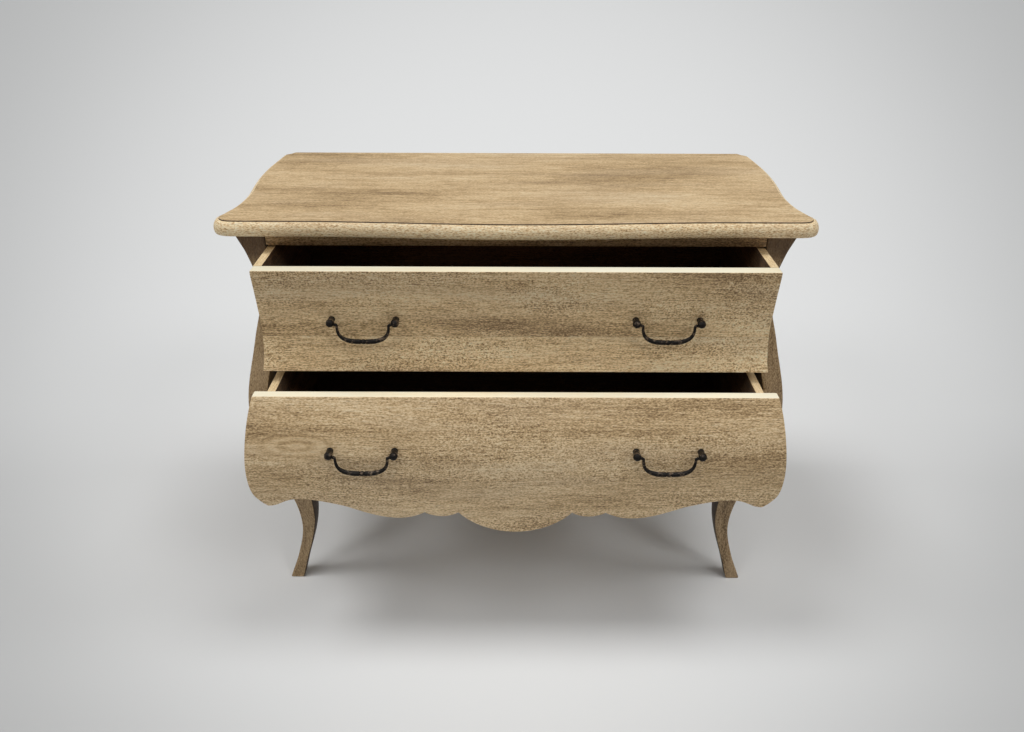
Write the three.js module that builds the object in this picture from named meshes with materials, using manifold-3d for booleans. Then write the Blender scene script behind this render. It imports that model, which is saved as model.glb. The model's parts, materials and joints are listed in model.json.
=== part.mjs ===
// Bombe chest with two drawers, in millimetres, +Z up, front towards -Y.
// Both drawers stand partly open, as they do in the photograph.
import * as THREE from 'three';
import { mergeVertices } from 'three/addons/utils/BufferGeometryUtils.js';
import Module from 'manifold-3d';

const wasm = await Module();
wasm.setup();

// Overall sizes
const chestHeight = 882;
const slabThickness = 30;
const slabHalfWidth = 606;
const caseDepth = 505;
const postDepth = 50;

// Fits: what touches keeps a seat gap, what slides keeps a running gap
const seat = 0.3;
const running = 1.5;
const overrun = 60;
const bite = 0.8;

// Heights of the front, from the floor up
const apronCornerHeight = 347;
const middleRailThickness = 19.5;
const topRailHeight = 30.5;
const frontGap = 2;
const topFrontGap = 4;
const caseTop = chestHeight - slabThickness - seat;
const upperFaceShare = 0.484;
const gapsAndRails = topRailHeight + topFrontGap + 2 * frontGap + middleRailThickness;
const facesHeight = caseTop - gapsAndRails - apronCornerHeight;
const topRailBottom = caseTop - topRailHeight;
const upperTop = topRailBottom - topFrontGap;
const upperBottom = upperTop - facesHeight * upperFaceShare;
const middleRailTop = upperBottom - frontGap;
const middleRailBottom = middleRailTop - middleRailThickness;
const lowerTop = middleRailBottom - frontGap;
const apronCover = 42;
const bottomRailTop = apronCornerHeight + apronCover;
const bottomRailHeight = 24;
const bottomRailBottom = bottomRailTop - bottomRailHeight;

// How far each drawer stands open
const upperOpen = 132;
const lowerOpen = 184;

// Outside edge of the posts and legs, seen from the front
const slabOverhang = 38;
const bellyHalfWidth = slabHalfWidth - slabOverhang;
const legTuck = 78;
const outsideShares = [
  [1, -0.03], [0.943, 0.24], [0.839, 0.44], [0.709, 0.19], [0.55, 0],
  [0.405, 0.3], [0.246, 0.87], [0.152, 1], [0.07, 0.83], [0, 0.56],
];

// Front face of the case and drawers, seen from the side
const waistDepth = 22;
const bellyReach = 62;
const faceShares = [
  [1, 0.4], [0.959, 0.355], [0.875, 0.13], [0.789, 0], [0.705, 0.24], [0.6, 0.8],
  [0.516, 1], [0.404, 0.87], [0.245, 0.47], [0.14, 0.34], [0, 0.56],
];

// Ends of the drawer fronts, seen from the front
const postFaceWidth = 40;
const faceHalfWidth = bellyHalfWidth - postFaceWidth;
const faceTuck = 35;
const upperEndShares = [[1, 0.66], [0.69, 0.74], [0.33, 0.83], [0, 0.77]];
const lowerEndShares = [
  [1, 0.49], [0.84, 0.26], [0.62, 0.08], [0.41, 0], [0.24, 0.06], [0.12, 0.26], [0.03, 0.74], [0, 1],
];

// Inside edge of the legs below the drawers, seen from the front
const legReach = 111;
const legInsideHalfWidth = bellyHalfWidth - legReach;
const legInsideSpread = 36;
const legInsideShares = [
  [1, 1], [0.87, 0.46], [0.73, 0.16], [0.6, 0.04], [0.44, 0], [0.28, 0.27], [0.14, 0.65], [0, 0.97],
];

// Back of the legs below the drawers, seen from the side, as shares of the post's depth
const legBackShares = [
  [1, 1], [0.87, 1.04], [0.61, 1.04], [0.44, 0.86], [0.28, 0.78], [0.14, 0.58], [0, 0.34],
];

// Plan of the top: the sides draw in behind the front corners
const slabBackOverhang = 15;
const slabBack = caseDepth + slabBackOverhang;
const slabFrontReach = 37;
const slabBow = 17;
const slabBowInset = 156;
const slabBowHalfWidth = slabHalfWidth - slabBowInset;
const slabSideDip = 22;
const slabSideShares = [
  [0, 0], [0.06, 0], [0.12, 0.22], [0.2, 0.62], [0.28, 0.9], [0.36, 1],
  [0.45, 0.86], [0.6, 0.5], [0.74, 0.36], [0.87, 0.5], [1, 0.75],
];
const slabCornerReach = 46;
const slabBackCorner = 16;
const sideDipShare = 0.75;

// Edge of the top: a fat rounded nose with a fine step above it
const noseBelow = 11;
const noseInsetBelow = 4;
const noseInsetAbove = 11;
const stepHeight = 2.2;
const stepInset = 1;
const noseStepsBelow = 3;
const noseStepsAbove = 5;

// Scalloped lower edge of the lower front
const crestInset = 113;
const crestX = faceHalfWidth - crestInset;
const crestRise = 17.5;
const lobeX = 233;
const lobeDrop = 32;
const outerCuspX = 182;
const innerCuspX = 114;
const cuspDrop = 16.5;
const smallLobeX = 147;
const smallLobeDrop = 27;
const centreDrop = 71;
const waveSteps = 7;
const lobeSteps = 5;
const centreSteps = 9;

// Boards
const upperFrontThickness = 28;
const lowerFrontThickness = 22;
const boxSideThickness = 16;
const boxBackThickness = 14;
const boxBottomThickness = 6;
const boxRearGap = 75;
const boxLength = caseDepth - boxRearGap;
const grooveDepth = 6;
const grooveHeight = 12;
const boxBackDrop = 8;
const lowerFrontOverhang = 42;
const lowerBoxHalfWidth = faceHalfWidth - lowerFrontOverhang;
const upperSideLean = 8;
const sidePanelThickness = 18;
const backPanelThickness = 8;
const railThickness = 26;
const railSetback = 1;
const tenonLength = 18;
const tenonThickness = 9;
const tenonShoulderShare = 0.2;
const backPanelSetback = 2;
const kickShare = 0.5;
const runnerThickness = 20;
const runnerLedge = 26;
const guideHeight = 32;
const kickerThickness = 30;
const stopLength = 14;
const stopHeight = 14;
const cornerBlockLeg = 70;
const cornerBlockHeight = 24;
const sidePanelArch = 26;

// Handles: two ball posts, a bail between them and a screw behind each post
const handleInset = 231;
const handleX = faceHalfWidth - handleInset;
const postSpacing = 125.4;
const ballRadius = 8.4;
const ballStandoff = 19;
const stemRadius = 3.6;
const collarRadius = 4.6;
const collarThickness = 2.4;
const stemSink = 5;
const pinRadius = 1.7;
const pinDrop = 3.6;
const pinHoleStart = 3.2;
const bailInset = 10.4;
const bailDrop = 36;
const bailEndRadius = 2;
const bailMiddleRadius = 4.8;
const beadRadius = 5.6;
const beadHalfLength = 4;
const bailSquareness = 2.8;
const bailSwellShares = [0.05, 0.4];
const bailSteps = 14;
const beadSteps = 6;
const ballSteps = 9;
const screwRadius = 2;
const screwHeadRadius = 4.6;
const screwHeadThickness = 3;
const handleDropShare = 0.498;
const lowerHandleDropShare = 0.431;

// Facets
const legSteps = 14;
const faceSteps = 13;
const outlineSteps = 24;
const cornerSteps = 6;
const panelSteps = 9;
const roundSides = 12;
const bailSides = 8;

const carcassWood = new THREE.MeshStandardMaterial({ color: 0xa98d68, roughness: 0.75, metalness: 0 });
const topWood = new THREE.MeshStandardMaterial({ color: 0xc4a67c, roughness: 0.7, metalness: 0 });
const rawWood = new THREE.MeshStandardMaterial({ color: 0xdcc39a, roughness: 0.85, metalness: 0 });
const darkIron = new THREE.MeshStandardMaterial({ color: 0x2b2724, roughness: 0.55, metalness: 0.8 });

// A smooth curve through stations [place, value], written in any order
function smoothCurve(stations) {
  const points = [...stations].sort((a, b) => a[0] - b[0]);
  const last = points.length - 1;
  const slope = (i) => {
    const before = points[Math.max(i - 1, 0)];
    const after = points[Math.min(i + 1, last)];
    return (after[1] - before[1]) / (after[0] - before[0]);
  };
  return (place) => {
    const at = Math.min(Math.max(place, points[0][0]), points[last][0]);
    let i = 0;
    while (i < last - 1 && at > points[i + 1][0]) i += 1;
    const [start, from] = points[i];
    const [end, to] = points[i + 1];
    const span = end - start;
    const t = (at - start) / span;
    const bend = t * (1 - t);
    const chord = from + (to - from) * t;
    const startPull = slope(i) * span - (to - from);
    const endPull = slope(i + 1) * span - (to - from);
    return chord + bend * ((1 - t) * startPull - t * endPull);
  };
}

function steps(from, to, count) {
  return Array.from({ length: count + 1 }, (_, i) => from + ((to - from) * i) / count);
}

// Every piece takes its corners at the same levels, so that neighbours share their facets.
// The levels lie closer together at the tucked corner of the lower front.
const sharedLevels = [
  ...steps(0, apronCornerHeight, legSteps),
  ...steps(0, Math.PI / 2, faceSteps).slice(1).map((turn) => {
    return apronCornerHeight + (lowerTop - apronCornerHeight) * (1 - Math.cos(turn));
  }),
  ...steps(lowerTop, caseTop, faceSteps).slice(1),
];

function levels(from, to) {
  return [from, ...sharedLevels.filter((z) => z > from + seat && z < to - seat), to];
}

// The same curve as straight runs between the shared levels
function faceted(curve) {
  const values = sharedLevels.map(curve);
  const last = sharedLevels.length - 1;
  return (z) => {
    let i = 0;
    while (i < last - 1 && z > sharedLevels[i + 1]) i += 1;
    const t = (z - sharedLevels[i]) / (sharedLevels[i + 1] - sharedLevels[i]);
    return THREE.MathUtils.lerp(values[i], values[i + 1], THREE.MathUtils.clamp(t, 0, 1));
  };
}

// Half width of the case's outside at a height
const outsideCurve = smoothCurve(outsideShares);
const outsideHalf = faceted((z) => bellyHalfWidth - legTuck * outsideCurve(z / caseTop));

// How far the front face stands before the case's front line at a height
const faceCurve = smoothCurve(faceShares);
const faceReach = faceted((z) => bellyReach * faceCurve(z / caseTop) - waistDepth);
const faceY = (z) => -faceReach(z);

// Half width of the drawer fronts at a height
const endStations = [
  ...upperEndShares.map(([at, inset]) => [upperBottom + at * (upperTop - upperBottom), inset]),
  ...lowerEndShares.map(([at, inset]) => [apronCornerHeight + at * (lowerTop - apronCornerHeight), inset]),
];
const endCurve = smoothCurve(endStations);
const faceHalf = faceted((z) => faceHalfWidth - faceTuck * endCurve(z));

// Half width of the opening between the posts, and of the gap between the legs
const legInside = smoothCurve(legInsideShares);
const insideHalf = faceted((z) => {
  if (z >= apronCornerHeight) return faceHalf(z) + running;
  return legInsideHalfWidth + legInsideSpread * legInside(z / apronCornerHeight) + running;
});

// How far the case's side draws in behind the front corner
const sideDip = smoothCurve(slabSideShares);
const slabHalf = (y) => slabHalfWidth - slabSideDip * sideDip(y / slabBack);
const caseDip = (y) => slabSideDip * sideDipShare * (sideDip(y / slabBack) - sideDip(postDepth / slabBack));
const backDip = caseDip(caseDepth - postDepth);

// Solids from outlines: along X the outline is (y, z), along Y it is (x, z)
function prism(points, from, to, axes) {
  const shape = new THREE.Shape(points.map(([u, v]) => new THREE.Vector2(u, v)));
  const geometry = new THREE.ExtrudeGeometry(shape, { depth: to - from, bevelEnabled: false, steps: 1 });
  geometry.translate(0, 0, from);
  geometry.applyMatrix4(axes);
  return geometry;
}

const axisX = new THREE.Vector3(1, 0, 0);
const axisY = new THREE.Vector3(0, 1, 0);
const axisZ = new THREE.Vector3(0, 0, 1);
const xAxes = new THREE.Matrix4().makeBasis(axisY, axisZ, axisX);
const yAxes = new THREE.Matrix4().makeBasis(axisX, axisZ, axisY.clone().negate());
const zAxes = new THREE.Matrix4();
const alongX = (points, from, to) => prism(points, from, to, xAxes);
const alongY = (points, from, to) => prism(points, -to, -from, yAxes);
const alongZ = (points, from, to) => prism(points, from, to, zAxes);

function block(x0, x1, y0, y1, z0, z1) {
  const geometry = new THREE.BoxGeometry(x1 - x0, y1 - y0, z1 - z0);
  return geometry.translate((x0 + x1) / 2, (y0 + y1) / 2, (z0 + z1) / 2);
}

// A rod along Y, round the line x, z
function rodAlongY(radius, x, z, y0, y1) {
  const geometry = new THREE.CylinderGeometry(radius, radius, y1 - y0, roundSides);
  return geometry.translate(x, (y0 + y1) / 2, z);
}

// Joins and cuts
function toSolid(geometry) {
  const bare = geometry.clone();
  bare.deleteAttribute('normal');
  bare.deleteAttribute('uv');
  const merged = mergeVertices(bare);
  return new wasm.Manifold(new wasm.Mesh({
    numProp: 3,
    vertProperties: merged.attributes.position.array,
    triVerts: merged.index.array,
  }));
}

function toGeometry(solid) {
  const mesh = solid.getMesh();
  const geometry = new THREE.BufferGeometry();
  geometry.setAttribute('position', new THREE.BufferAttribute(mesh.vertProperties, mesh.numProp));
  geometry.setIndex(new THREE.BufferAttribute(mesh.triVerts, 1));
  const flat = geometry.toNonIndexed();
  flat.computeVertexNormals();
  return flat;
}

const join = (first, ...rest) => toGeometry(rest.reduce((sum, g) => sum.add(toSolid(g)), toSolid(first)));
const cut = (first, ...rest) => toGeometry(rest.reduce((sum, g) => sum.subtract(toSolid(g)), toSolid(first)));
const common = (first, second) => toGeometry(toSolid(first).intersect(toSolid(second)));

const mirrored = (points) => points.map(([u, v]) => [-u, v]);

// A skin over rings of points, closed by a cap at each end
function skin(rings) {
  const count = rings[0].length;
  const vertices = rings.flat().flatMap((p) => [p.x, p.y, p.z]);
  const index = [];
  for (let r = 0; r < rings.length - 1; r += 1) {
    for (let i = 0; i < count; i += 1) {
      const j = (i + 1) % count;
      const a = r * count + i;
      const b = r * count + j;
      index.push(a, b, b + count, a, b + count, a + count);
    }
  }
  const caps = [[rings[0], 0, true], [rings[rings.length - 1], (rings.length - 1) * count, false]];
  for (const [ring, offset, flip] of caps) {
    const flat = flatten(ring);
    for (const [a, b, c] of THREE.ShapeUtils.triangulateShape(flat, [])) {
      if (flip) index.push(offset + a, offset + c, offset + b);
      else index.push(offset + a, offset + b, offset + c);
    }
  }
  const geometry = new THREE.BufferGeometry();
  geometry.setAttribute('position', new THREE.Float32BufferAttribute(vertices, 3));
  geometry.setIndex(index);
  geometry.computeVertexNormals();
  return geometry;
}

// A ring of points as seen square on, for its cap
function flatten(ring) {
  const normal = new THREE.Vector3();
  ring.forEach((p, i) => normal.add(new THREE.Vector3().crossVectors(p, ring[(i + 1) % ring.length])));
  const turn = new THREE.Quaternion().setFromUnitVectors(normal.normalize(), axisZ);
  return ring.map((p) => {
    const q = p.clone().applyQuaternion(turn);
    return new THREE.Vector2(q.x, q.y);
  });
}

const chest = new THREE.Group();

function add(name, geometry, material, parent = chest) {
  const mesh = new THREE.Mesh(geometry, material);
  mesh.name = name;
  parent.add(mesh);
  return mesh;
}

// The top: its plan is drawn once and set in, ring by ring, for the nose
function slabPlan() {
  const half = [];
  const cornerY = -slabFrontReach;
  half.push(new THREE.Vector2(slabHalf(slabBack) - slabBackCorner, slabBack));
  for (const y of steps(slabBack - slabBackCorner, slabCornerReach - slabFrontReach, outlineSteps)) {
    half.push(new THREE.Vector2(slabHalf(y), y));
  }
  const corner = new THREE.QuadraticBezierCurve(
    new THREE.Vector2(slabHalfWidth, slabCornerReach - slabFrontReach),
    new THREE.Vector2(slabHalfWidth, cornerY),
    new THREE.Vector2(slabHalfWidth - slabCornerReach, cornerY),
  );
  half.push(...corner.getPoints(cornerSteps).slice(1));
  for (const x of steps(slabBowHalfWidth, 0, outlineSteps / 2)) {
    const swell = (1 + Math.cos((Math.PI * x) / slabBowHalfWidth)) / 2;
    half.push(new THREE.Vector2(x, cornerY - slabBow * swell));
  }
  const other = half.slice(0, -1).reverse().map((p) => new THREE.Vector2(-p.x, p.y));
  return [...half, ...other].reverse();
}

function slabNose() {
  const profile = [];
  const above = slabThickness - stepHeight - noseBelow;
  for (const turn of steps(-Math.PI / 2, 0, noseStepsBelow)) {
    profile.push([noseInsetBelow * (1 - Math.cos(turn)), noseBelow * (1 + Math.sin(turn))]);
  }
  for (const turn of steps(0, Math.PI / 2, noseStepsAbove).slice(1)) {
    profile.push([noseInsetAbove * (1 - Math.cos(turn)), noseBelow + above * Math.sin(turn)]);
  }
  profile.push([noseInsetAbove + stepInset, slabThickness]);
  return profile;
}

function setIn(plan, inset, z) {
  return plan.map((p, i) => {
    const before = plan[(i + plan.length - 1) % plan.length];
    const after = plan[(i + 1) % plan.length];
    const run = after.clone().sub(before).normalize();
    const isBack = p.y > slabBack - slabBackCorner / 2;
    const x = p.x - (isBack ? Math.sign(p.x) * inset : run.y * inset);
    const y = isBack ? slabBack : p.y + run.x * inset;
    return new THREE.Vector3(x, y, z);
  });
}

function topSlab() {
  const plan = slabPlan();
  const rings = slabNose().map(([inset, rise]) => setIn(plan, inset, chestHeight - slabThickness + rise));
  return skin(rings);
}

// A post and its leg: one board sawn to two outlines, as a cabriole leg is
const legBack = smoothCurve(legBackShares);
const postBack = (z) => postDepth * (z < apronCornerHeight ? legBack(z / apronCornerHeight) : 1);

// How far a back foot kicks out behind the case
const footKick = (z) => Math.max(faceReach(z) - faceReach(apronCornerHeight * kickShare), 0) * kickShare;
const rearY = (z) => caseDepth + (z < apronCornerHeight * kickShare ? footKick(z) : 0);

function postAndLeg(side, isBack) {
  const heights = levels(0, caseTop);
  const fallen = [...heights].reverse();
  const dip = isBack ? backDip : 0;
  const seenFront = [
    ...heights.map((z) => [outsideHalf(z) - dip, z]),
    ...fallen.map((z) => [insideHalf(z) - dip, z]),
  ];
  const seenSide = isBack
    ? [...heights.map((z) => [rearY(z), z]), ...fallen.map((z) => [caseDepth - postBack(z), z])]
    : [...heights.map((z) => [faceY(z), z]), ...fallen.map((z) => [postBack(z), z])];
  const outline = side > 0 ? seenFront : mirrored(seenFront);
  return common(
    alongY(outline, -bellyReach - overrun, caseDepth + overrun),
    alongX(seenSide, -bellyHalfWidth - overrun, bellyHalfWidth + overrun),
  );
}

// A rail between two posts: its shoulders follow them, and a tenon enters each
function railBetween(dip, y0, y1, z0, z1) {
  const heights = levels(z0, z1);
  const reach = (z) => insideHalf(z) - dip - seat;
  const end = heights.map((z) => [reach(z), z]);
  const outline = [...end, ...mirrored(end).reverse()];
  return alongY(outline, y0, y1);
}

function tenonOf(dip, y0, y1, z0, z1, spare) {
  const middle = (y0 + y1) / 2;
  const reach = Math.max(insideHalf(z0), insideHalf(z1)) - dip + tenonLength + spare;
  const half = tenonThickness / 2 + spare;
  const shoulder = (z1 - z0) * tenonShoulderShare - spare;
  return block(-reach, reach, middle - half, middle + half, z0 + shoulder, z1 - shoulder);
}

const topRailY = faceY(topRailBottom) + railSetback;
const middleRailY = faceY(middleRailTop) + railSetback;
const bottomRailY = Math.max(faceY(bottomRailBottom), faceY(bottomRailTop)) + lowerFrontThickness + running;
const backRailY = caseDepth - backPanelSetback - backPanelThickness - seat;
const rails = {
  top_front_rail: [0, topRailY, topRailY + railThickness, topRailBottom, caseTop],
  middle_front_rail: [0, middleRailY, postDepth, middleRailBottom, middleRailTop],
  bottom_front_rail: [0, bottomRailY, postDepth, bottomRailBottom, bottomRailTop],
  top_back_rail: [backDip, backRailY - railThickness, backRailY, topRailBottom, caseTop],
  bottom_back_rail: [backDip, backRailY - railThickness, backRailY, bottomRailBottom, bottomRailTop],
};

for (const [name, spot] of Object.entries(rails)) {
  add(name, join(railBetween(...spot), tenonOf(...spot, 0)), carcassWood);
}

for (const [sideName, side] of [['left', -1], ['right', 1]]) {
  for (const [endName, isBack] of [['front', false], ['back', true]]) {
    const mortises = Object.entries(rails)
      .filter(([name]) => name.includes(endName))
      .map(([, spot]) => tenonOf(...spot, seat));
    add(`${sideName}_${endName}_post`, cut(postAndLeg(side, isBack), ...mortises), carcassWood);
  }
}

// A side panel swells with the posts and draws in between them
function sidePanel(side) {
  const panelBottom = bottomRailBottom;
  const rings = steps(postDepth + seat, caseDepth - postDepth - seat, panelSteps).map((y) => {
    const along = (y - postDepth) / (caseDepth - 2 * postDepth);
    const arch = sidePanelArch * Math.sin(Math.PI * along);
    const heights = levels(panelBottom, caseTop);
    heights[0] += arch - sidePanelArch / 2;
    const outer = heights.map((z) => new THREE.Vector3(outsideHalf(z) - caseDip(y), y, z));
    const inner = outer.map((p) => new THREE.Vector3(p.x - sidePanelThickness, p.y, p.z)).reverse();
    return [...outer, ...inner];
  });
  const panel = skin(rings);
  return side > 0 ? turnedOut(panel) : reflected(turnedOut(panel));
}

// The same skin with its faces turned over
function turnedOut(geometry) {
  const index = geometry.index.array;
  for (let i = 0; i < index.length; i += 3) [index[i + 1], index[i + 2]] = [index[i + 2], index[i + 1]];
  geometry.computeVertexNormals();
  return geometry;
}

// The mirror image across the middle of the chest
function reflected(geometry) {
  const image = geometry.clone().applyMatrix4(new THREE.Matrix4().makeScale(-1, 1, 1));
  if (image.index) return turnedOut(image);
  const numbered = mergeVertices(image);
  return turnedOut(numbered);
}

add('left_side_panel', sidePanel(-1), carcassWood);
add('right_side_panel', sidePanel(1), carcassWood);
add('top_slab', topSlab(), topWood);

// The back panel lies behind the back rails, between the back posts
function backPanel() {
  const heights = levels(bottomRailBottom, caseTop);
  const edge = heights.map((z) => [insideHalf(z) - backDip - seat, z]);
  const y = caseDepth - backPanelSetback;
  return alongY([...edge, ...mirrored(edge).reverse()], y - backPanelThickness, y);
}
add('back_panel', backPanel(), rawWood);

// Drawer boxes: the upper one's sides lean with the waist of the case
const upperBoxHalf = faceHalf(upperTop) - seat;
const drawers = {
  upper: {
    top: upperTop,
    bottom: upperBottom,
    thickness: upperFrontThickness,
    ledge: middleRailTop,
    boxHalf: upperBoxHalf,
    lean: upperSideLean,
    open: upperOpen,
    handleDrop: handleDropShare,
  },
  lower: {
    top: lowerTop,
    bottom: apronCornerHeight,
    thickness: lowerFrontThickness,
    ledge: bottomRailTop,
    boxHalf: lowerBoxHalfWidth,
    lean: 0,
    open: lowerOpen,
    handleDrop: lowerHandleDropShare,
  },
};

// Runners and kickers carry, guide and hold down the drawers
function leanAt(drawer, z) {
  return (drawer.lean * (drawer.top - z)) / (drawer.top - drawer.ledge);
}

function runner(drawer) {
  const guideInside = drawer.boxHalf - leanAt(drawer, drawer.ledge + guideHeight) + running;
  const ledgeInside = drawer.boxHalf - drawer.lean - runnerLedge;
  const isLower = drawer === drawers.lower;
  const guideOutside = (z) => {
    const insidePanel = outsideHalf(z) - slabSideDip * sideDipShare - sidePanelThickness;
    return isLower ? Math.min(insideHalf(z) - backDip, insidePanel) : insidePanel;
  };
  const low = drawer.ledge - runnerThickness;
  const high = drawer.ledge + guideHeight;
  const outside = Math.min(...levels(low, high).map(guideOutside)) - seat;
  const section = [
    [ledgeInside, low], [outside, low], [outside, high],
    [guideInside, high], [guideInside, drawer.ledge], [ledgeInside, drawer.ledge],
  ];
  const rear = isLower ? backRailY - railThickness : caseDepth - postDepth;
  return alongY(section, postDepth + seat, rear - seat);
}

function stopBlock(drawer) {
  const x1 = drawer.boxHalf - drawer.lean;
  const y0 = boxLength + seat;
  const z0 = drawer.ledge + seat;
  return block(x1 - boxSideThickness, x1, y0, y0 + stopLength, z0, z0 + stopHeight);
}

const kickerOutside = insideHalf(caseTop) - backDip - seat;
const kickerInside = kickerOutside - kickerThickness;
const kickerStart = topRailY + railThickness + seat;
const kickerEnd = backRailY - railThickness - seat;
const kicker = () => block(kickerInside, kickerOutside, kickerStart, kickerEnd, topRailBottom, caseTop);

function cornerBlock(isBack) {
  const x = kickerInside - seat;
  const y = isBack ? kickerEnd : kickerStart;
  const leg = isBack ? -cornerBlockLeg : cornerBlockLeg;
  return alongZ([[x, y], [x, y + leg], [x - cornerBlockLeg, y]], caseTop - cornerBlockHeight, caseTop);
}

const bothSides = (name, geometry, material) => {
  add(`right_${name}`, geometry, material);
  add(`left_${name}`, reflected(geometry), material);
};

bothSides('kicker', kicker(), rawWood);
bothSides('front_corner_block', cornerBlock(false), rawWood);
bothSides('back_corner_block', cornerBlock(true), rawWood);
for (const [level, drawer] of Object.entries(drawers)) {
  bothSides(`${level}_runner`, runner(drawer), rawWood);
  bothSides(`${level}_stop`, stopBlock(drawer), rawWood);
}

// The scalloped lower edge, from the left corner to the right one
function apronEdge() {
  const z = apronCornerHeight;
  const crest = [crestX, z + crestRise];
  const lobe = [lobeX, z - lobeDrop];
  const outerCusp = [outerCuspX, z - cuspDrop];
  const smallLobe = [smallLobeX, z - smallLobeDrop];
  const innerCusp = [innerCuspX, z - cuspDrop];
  const middle = [0, z - centreDrop];
  const half = [
    [faceHalf(z), z],
    ...wave([faceHalf(z), z], crest, waveSteps),
    ...wave(crest, lobe, waveSteps),
    ...lobeArc(lobe, outerCusp, lobeSteps).slice(1),
    ...lobeArc(smallLobe, outerCusp, lobeSteps).reverse().slice(1),
    ...lobeArc(smallLobe, innerCusp, lobeSteps).slice(1),
    ...lobeArc(middle, innerCusp, centreSteps).reverse().slice(1),
  ];
  const right = half.slice(0, -1);
  return [...mirrored(right), half[half.length - 1], ...right.reverse()];
}

// Half a wave between two level points
function wave(from, to, count) {
  return steps(0, 1, count).slice(1).map((t) => {
    const rise = (1 - Math.cos(Math.PI * t)) / 2;
    return [from[0] + (to[0] - from[0]) * t, from[1] + (to[1] - from[1]) * rise];
  });
}

// The arc of a circle that leaves a lobe's lowest point level and rises to a cusp
function lobeArc(lowest, cusp, count) {
  const width = cusp[0] - lowest[0];
  const sweep = 2 * Math.atan2(cusp[1] - lowest[1], Math.abs(width));
  const radius = width / Math.sin(sweep);
  return steps(0, sweep, count).map((turn) => [
    lowest[0] + radius * Math.sin(turn),
    lowest[1] + Math.abs(radius) * (1 - Math.cos(turn)),
  ]);
}

function drawerFront(level, drawer) {
  const ends = levels(drawer.bottom, drawer.top).map((z) => [faceHalf(z), z]);
  const lowEdge = level === 'lower' ? apronEdge() : [ends[0], ...mirrored([ends[0]])].reverse();
  const outline = [...lowEdge, ...ends.slice(1), ...mirrored(ends.slice(1)).reverse()];
  const heights = levels(drawer.bottom - centreDrop - overrun, drawer.top + overrun);
  const band = [
    ...heights.map((z) => [faceY(z), z]),
    ...[...heights].reverse().map((z) => [faceY(z) + drawer.thickness, z]),
  ];
  return common(
    alongY(outline, -bellyReach - overrun, caseDepth),
    alongX(band, -faceHalfWidth - overrun, faceHalfWidth + overrun),
  );
}

// The box behind a front, in the closed drawer's place
function boxSizes(drawer) {
  const sideBottom = drawer.ledge + seat;
  const boardZ = sideBottom + grooveHeight;
  return {
    sideBottom,
    boardZ,
    boardTop: boardZ + boxBottomThickness,
    groovedY: faceY(boardZ) + drawer.thickness - grooveDepth,
    insideHalf: drawer.boxHalf - boxSideThickness,
    backY: boxLength - boxBackThickness,
    backTop: drawer.top - boxBackDrop,
  };
}

function bottomBoardSpace(drawer, spare) {
  const size = boxSizes(drawer);
  const half = size.insideHalf - leanAt(drawer, size.boardZ) + grooveDepth - seat + spare;
  const y0 = size.groovedY + seat - spare;
  return block(-half, half, y0, boxLength + spare, size.boardZ - spare, size.boardTop + spare);
}

function backBoardSpace(drawer, spare) {
  const size = boxSizes(drawer);
  const z0 = size.boardTop + 2 * seat - spare;
  const z1 = size.backTop + spare;
  const reach = (z) => size.insideHalf - leanAt(drawer, z) + grooveDepth - seat + spare;
  const edge = [[reach(z0), z0], [reach(z1), z1]];
  return alongY([...edge, ...mirrored(edge).reverse()], size.backY - spare, boxLength - seat + spare);
}

function boxSide(drawer) {
  const size = boxSizes(drawer);
  const frontEdge = levels(size.sideBottom, drawer.top).map((z) => {
    return [faceY(z) + drawer.thickness + seat, z];
  });
  const outline = [...frontEdge, [boxLength, drawer.top], [boxLength, size.sideBottom]];
  const board = alongX(outline, size.insideHalf, drawer.boxHalf);
  const spots = board.attributes.position;
  for (let i = 0; i < spots.count; i += 1) spots.setX(i, spots.getX(i) - leanAt(drawer, spots.getZ(i)));
  return cut(board, bottomBoardSpace(drawer, seat), backBoardSpace(drawer, seat));
}

// A handle post turned about Y: a stem let into the front, a collar, a neck and a ball
function ballPost(isRight) {
  const ball = steps(0, Math.PI - Math.asin(stemRadius / ballRadius), ballSteps).map((turn) => {
    return new THREE.Vector2(ballRadius * Math.sin(turn), -ballStandoff - ballRadius * Math.cos(turn));
  });
  ball[0].x = 0;
  const profile = [
    ...ball,
    new THREE.Vector2(stemRadius, -collarThickness),
    new THREE.Vector2(collarRadius, -collarThickness),
    new THREE.Vector2(collarRadius, bite - seat),
    new THREE.Vector2(stemRadius, bite - seat),
    new THREE.Vector2(stemRadius, stemSink),
    new THREE.Vector2(0, stemSink),
  ];
  const turned = new THREE.LatheGeometry(profile, roundSides);
  const hole = new THREE.CylinderGeometry(pinRadius + seat, pinRadius + seat, ballRadius, bailSides);
  hole.rotateZ(Math.PI / 2);
  hole.translate(ballRadius / 2 + pinHoleStart, -ballStandoff, -pinDrop);
  const bored = cut(turned, hole);
  return isRight ? reflected(bored) : bored;
}

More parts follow.
